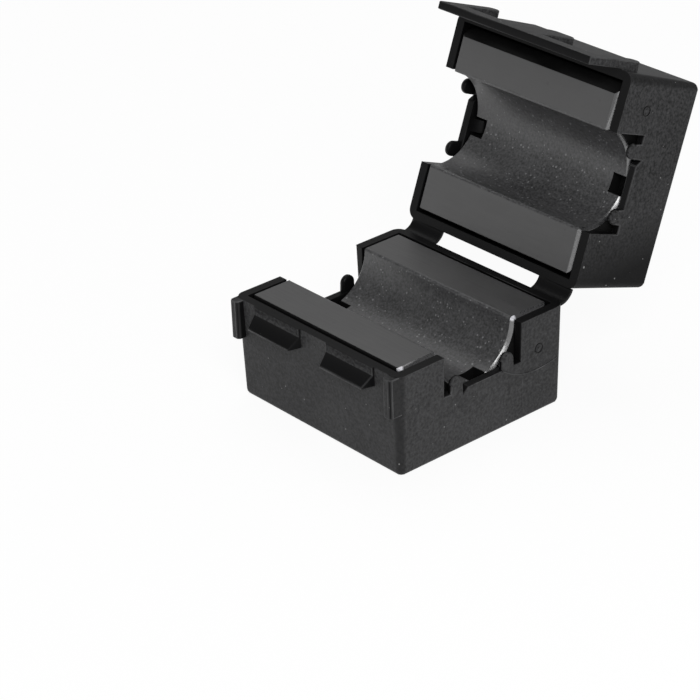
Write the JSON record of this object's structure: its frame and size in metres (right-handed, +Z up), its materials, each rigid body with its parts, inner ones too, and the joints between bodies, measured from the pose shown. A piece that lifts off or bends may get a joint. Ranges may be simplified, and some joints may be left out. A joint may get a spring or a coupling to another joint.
{
  "type": "clip-on ferrite bead",
  "caption": "Open clip-on ferrite bead: a hinged black plastic case holding grey ferrite half cores, which snaps shut round a cable to damp its interference.",
  "frame": {"origin": "middle of the lower half's base, on the surface that it stands on", "axes": "+X along the cable channel, +Y from the latch side to the hinge side, +Z up out of the lower half"},
  "size_m": [0.032, 0.0561, 0.0462],
  "materials": {
    "case_plastic": "black moulded nylon with a fine matte grain",
    "ferrite": "dark grey sintered ferrite with ground mating faces"
  },
  "bodies": {
    "lower": {"lower_case": "case_plastic", "lower_ferrite": "ferrite", "hinge_straps": "case_plastic"},
    "upper": {"upper_case": "case_plastic", "upper_ferrite": "ferrite"}
  },
  "joints": [
    {"name": "lid_hinge", "type": "hinge", "parent": "lower", "child": "upper", "pos_m": [0, 0.01557, 0.01475], "axis": [-1, 0, 0], "range_deg": [-111, 69], "stiffness_Nm_per_rad": 0.03, "springref_deg": -9.74, "deforming": ["hinge_straps"]}
  ]
}
